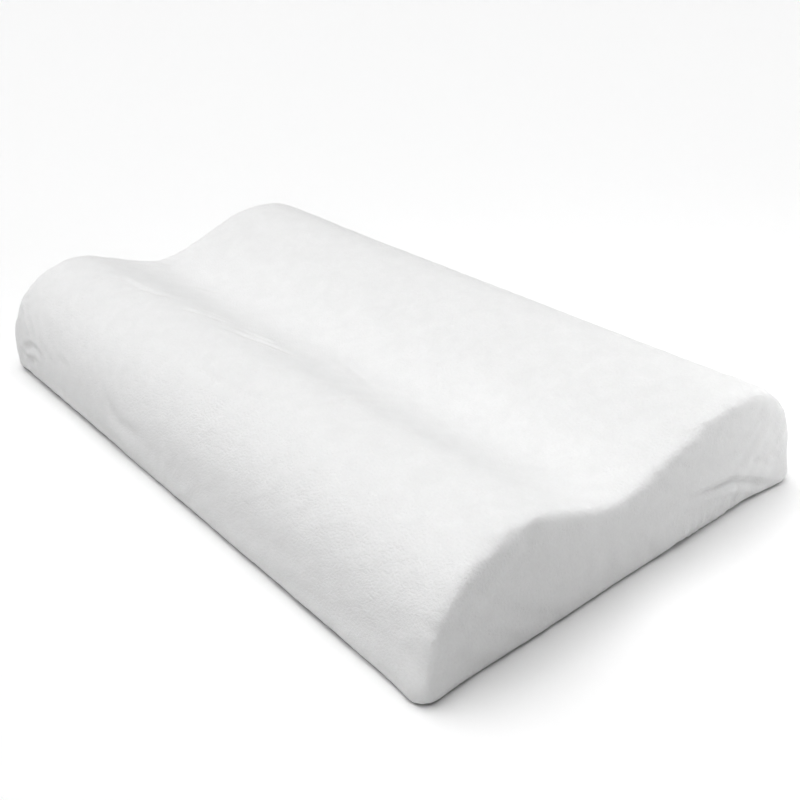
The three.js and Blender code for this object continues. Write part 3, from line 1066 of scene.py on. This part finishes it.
@dataclass
class CareLabel:
    """A blank satin strip, sewn in at the left rim and lying down the end panel."""

    skin: BVHTree
    lift: float = 0.4 * MM
    wall: float = 0.25 * MM
    free_end_lift: float = 1.8 * MM
    free_share: float = 0.35
    twist: float = 0.4
    outside: float = 262 * MM
    rim_start: float = 71 * MM
    top: float = 80 * MM

    def build(self) -> None:
        """Lay a grid on the skin and lift its free end."""
        low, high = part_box("care_label")
        length, width = self.top - low.z, high.y - low.y
        bm = bmesh.new()
        bmesh.ops.create_grid(bm, x_segments=14, y_segments=24, size=0.5)
        for vert in bm.verts:
            across, down = vert.co.x + 0.5, vert.co.y + 0.5
            height = low.z + down * length
            start = Vector((-self.outside + 0.6 * max(0.0, height - self.rim_start),
                            low.y + across * width, height))
            place, facing, _, _ = self.skin.find_nearest(start)
            twist = 1 - self.twist + self.twist * math.sin(3 * across)
            curl = (1 - min(1.0, down / self.free_share)) ** 2 * twist
            vert.co = place + facing * (self.lift + self.free_end_lift * curl)
        bmesh.ops.recalc_face_normals(bm, faces=bm.faces)
        if sum(face.normal.x for face in bm.faces) > 0:
            bmesh.ops.reverse_faces(bm, faces=bm.faces)
        label = walled(to_object("satin_care_label", bm), self.wall, offset=0.0)
        finish_piece(label, SatinRibbon().build(), Slot.SATIN, "care_label")


@dataclass
class Topstitching:
    """The rows that hold the cover to the zip tapes, and the bar tacks at the slot's ends."""

    skin: BVHTree
    finish: bpy.types.Material
    pitch: float = 3.4 * MM
    length: float = 2.6 * MM
    thread: float = 0.45 * MM
    rows: tuple[float, ...] = (8.4 * MM, 23.6 * MM)
    half_row: float = 218 * MM
    tack: float = 221.5 * MM
    tack_pitch: float = 0.7 * MM
    tack_stitches: int = 22
    tack_lean: float = 6.0
    behind: float = 200 * MM

    def stitch(self) -> bpy.types.Mesh:
        """Make one stitch at the origin, along X."""
        bm = bmesh.new()
        shape = Matrix.Diagonal((self.length / 2, self.thread / 2, self.thread / 2, 1))
        bmesh.ops.create_uvsphere(bm, u_segments=6, v_segments=5, radius=1.0, matrix=shape)
        mesh = bpy.data.meshes.new("stitch")
        bm.to_mesh(mesh)
        bm.free()
        return mesh

    def places(self) -> list[tuple[float, float, float]]:
        """Where every stitch goes, as its place along the pillow, its height and its turn about Y."""
        count = int(2 * self.half_row / self.pitch) + 1
        rows = [(-self.half_row + index * self.pitch, height, 0.0)
                for height in self.rows for index in range(count)]
        lean = math.radians(self.tack_lean)
        tacks = [(x, self.rows[0] + index * self.tack_pitch, lean * (-1) ** index)
                 for x in (-self.tack, self.tack) for index in range(self.tack_stitches)]
        return rows + tacks

    def build(self) -> None:
        """Sew both rows and both tacks."""
        one = self.stitch()
        bm = bmesh.new()
        for x, z, lean in self.places():
            known = len(bm.verts)
            bm.from_mesh(one)
            bm.verts.ensure_lookup_table()
            place = self.skin.ray_cast(Vector((x, self.behind, z)), Vector((0, -1, 0)))[0]
            bmesh.ops.transform(bm, verts=bm.verts[known:],
                                matrix=Matrix.Translation(place) @ Matrix.Rotation(lean, 4, "Y"))
        bpy.data.meshes.remove(one)
        finish_piece(to_object("zip_topstitching", bm), self.finish, Slot.TAPE)


# ---- Studio ----


@dataclass(frozen=True)
class Studio:
    """A pale floor with a painted contact shadow, soft light and the camera. The eye is in millimetres,
    angles in degrees.
    """

    eye: tuple[float, float, float] = (532.3, -384.5, 361.7)
    azimuth: float = 51.29
    elevation: float = 28.2
    roll: float = -2.13
    lens: float = 46.64
    floor_half: float = 15
    dome_radius: float = 14
    painted_shadow_reach: float = 110 * MM
    fill: float = 0.03
    contrast: float = 0.7

    def camera(self) -> None:
        """Place the camera."""
        data = bpy.data.cameras.new("camera")
        data.lens = self.lens
        data.sensor_width = 36
        data.clip_start = 0.01
        rig = linked("camera", data)
        azimuth, elevation = math.radians(self.azimuth), math.radians(self.elevation)
        back = Vector((math.sin(azimuth) * math.cos(elevation), -math.cos(azimuth) * math.cos(elevation),
                       math.sin(elevation)))
        roll = Matrix.Rotation(math.radians(self.roll), 3, "Z")
        turn = (-back).to_track_quat("-Z", "Y").to_matrix() @ roll
        rig.matrix_world = Matrix.Translation(Vector(self.eye) * MM) @ turn.to_4x4()
        bpy.context.scene.camera = rig

    def floor(self) -> None:
        """Lay the floor, with a painted contact shadow: its colour darkens from FAFAFA towards E0E0E0 where
        the pillow stands close to it.
        """
        bm = bmesh.new()
        bmesh.ops.create_grid(bm, x_segments=1, y_segments=1, size=self.floor_half)
        ground = to_object("floor", bm, smooth=False)
        material, surface = start_material("matt_white_floor_painted_shadow", Roughness=0.9)
        # Painted shadow: ambient occlusion blends the floor's colour towards E0E0E0 near the pillow.
        painted_shadow_openness = add_node(material, "ShaderNodeAmbientOcclusion", in_Distance=self.painted_shadow_reach)
        tint = add_node(material, "ShaderNodeMix", {"Factor": painted_shadow_openness.outputs["AO"]}, data_type="RGBA")
        tint.inputs[6].default_value = linear("E0E0E0")
        tint.inputs[7].default_value = linear("FAFAFA")
        feed(surface, Base_Color=tint.outputs[2])
        ground.data.materials.append(material)

    def backdrop(self) -> None:
        """Raise a plain white dome that gives no light: the camera sees it, and nothing else does."""
        bm = bmesh.new()
        bmesh.ops.create_uvsphere(bm, u_segments=48, v_segments=24, radius=self.dome_radius)
        bmesh.ops.reverse_faces(bm, faces=bm.faces)
        dome = to_object("backdrop", bm)
        material, _ = start_material("plain_white_backdrop", Base_Color=linear("000000"),
                                     Emission_Color=linear("FFFFFF"), Emission_Strength=1.0)
        dome.data.materials.append(material)
        dome.visible_diffuse = False
        dome.visible_glossy = False
        dome.visible_shadow = False

    def lamp(self, name: str, place: tuple, target: tuple, size: float, power: float) -> None:
        """Hang one square area lamp.

        Args:
            name: The lamp's name.
            place: Where it hangs, in metres.
            target: The point it faces.
            size: Its side.
            power: Its power, in watts.
        """
        data = bpy.data.lights.new(name, "AREA")
        data.shape = "SQUARE"
        data.size = size
        data.energy = power
        rig = linked(name, data)
        facing = (Vector(target) - Vector(place)).to_track_quat("-Z", "Y").to_matrix().to_4x4()
        rig.matrix_world = Matrix.Translation(Vector(place)) @ facing
        rig.visible_camera = False

    def sun(self, name: str, strength: float, spread: float, lean_x: float = 0,
            lean_y: float = 0) -> None:
        """Hang one wide soft sun.

        Args:
            name: Its name.
            strength: Its share of a full white floor.
            spread: How wide it looks from the pillow, in degrees.
            lean_x: How far it leans to +X, in degrees.
            lean_y: How far it leans to +Y, in degrees.
        """
        data = bpy.data.lights.new(name, "SUN")
        data.energy = strength * math.pi
        data.angle = math.radians(spread)
        linked(name, data).rotation_euler = (-math.radians(lean_y), math.radians(lean_x), 0)

    def build(self) -> None:
        """Set up the whole studio."""
        self.camera()
        self.floor()
        self.backdrop()
        world = bpy.data.worlds.new("studio_white")
        world.use_nodes = True
        background = world.node_tree.nodes["Background"]
        background.inputs["Color"].default_value = linear("FFFFFF")
        background.inputs["Strength"].default_value = self.fill
        bpy.context.scene.world = world
        self.sun("overhead_softbox", strength=0.64, spread=72)
        self.sun("left_softbox", strength=0.25, spread=50, lean_x=-35)
        self.sun("front_softbox", strength=0.2, spread=50, lean_y=-35)
        self.lamp("low_right_softbox", place=(0.45, 0.4, 0.15), target=(0.25, 0.12, 0.03), size=0.2,
                  power=0.5)
        bpy.context.scene.view_settings.view_transform = "Standard"
        bpy.context.scene.view_settings.gamma = self.contrast


def main() -> None:
    """Build the pillow and its studio, and report each piece."""
    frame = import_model()
    Studio().build()
    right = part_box("cover_right_end_panel")[1]
    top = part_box("cover_top_panel")
    fullness = 2.5 * MM
    form = ContourForm(Vector((-right.x - fullness, top[0].y, 0)),
                       Vector((right.x + fullness, top[1].y, top[1].z)))
    Filling(form).build()
    velour = Velour().build()
    skin = Cover(form, velour).build()
    Zip(frame["nodes"], WovenTape().build(), Nylon().build(), NickelPlate().build()).build()
    CareLabel(skin).build()
    Topstitching(skin, velour).build()


if __name__ == "__main__":
    main()
